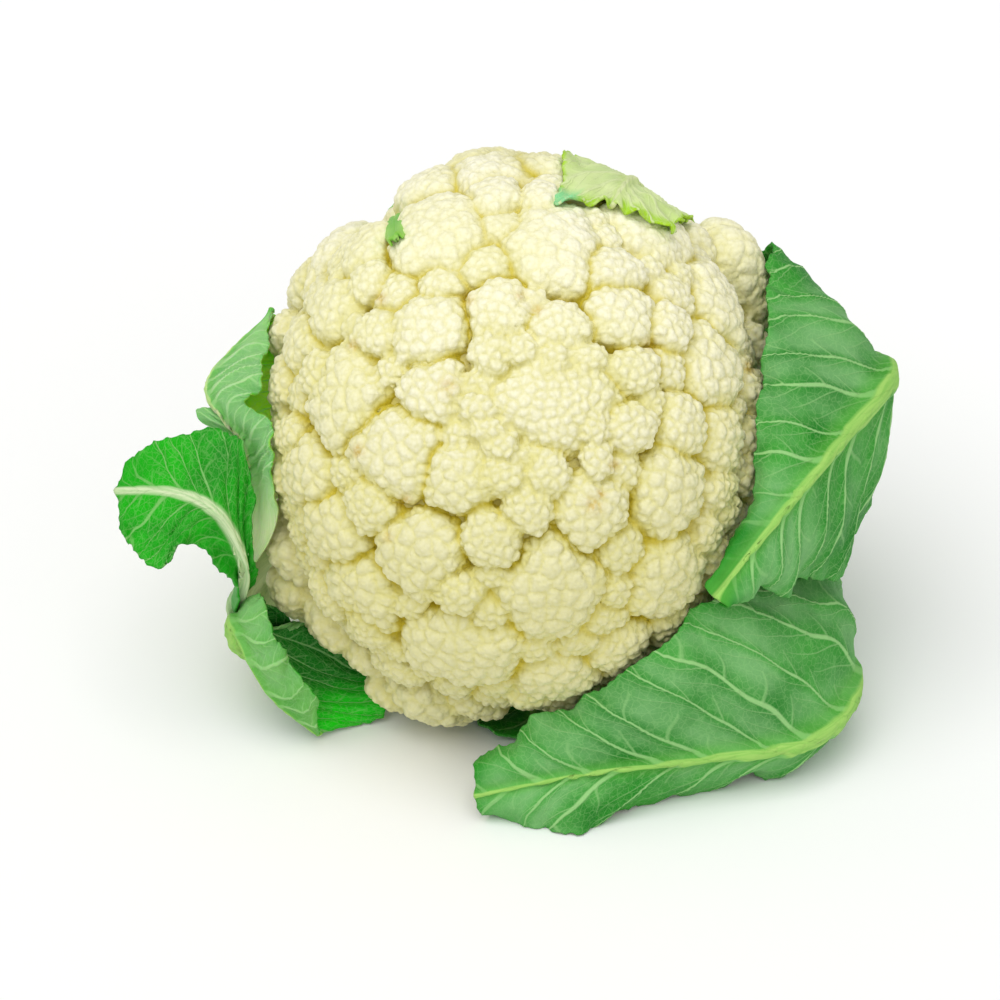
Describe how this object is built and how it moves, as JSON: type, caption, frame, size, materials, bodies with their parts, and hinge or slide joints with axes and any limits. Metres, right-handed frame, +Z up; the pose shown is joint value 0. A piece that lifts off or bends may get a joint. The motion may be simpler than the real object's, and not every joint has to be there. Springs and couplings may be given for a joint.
{
  "type": "cauliflower",
  "caption": "Whole cauliflower as picked: a head of tight florets on a short cut stalk, lying tipped back among its own curling leaves.",
  "frame": {"origin": "centre of the footprint of the whole vegetable's bounding box, on the surface it lies on", "axes": "+Z up; +X to the right across the face of the head, the longest extent; the face of the head looks towards -Y and up, 35 degrees above the horizontal"},
  "size_m": [0.2464, 0.1824, 0.1754],
  "materials": {
    "curd": null,
    "stalk": null,
    "leaf": null,
    "pale_leaf": null
  },
  "bodies": {
    "root": {"curd": "curd", "stalk": "stalk", "leaf_right": "leaf", "leaf_lower_right": "leaf", "leaf_under": "leaf", "leaf_lower_left": "leaf", "leaf_left": "leaf", "leaf_upper_left": "leaf", "leaf_back_left": "leaf", "leaf_top": "pale_leaf"}
  },
  "joints": []
}
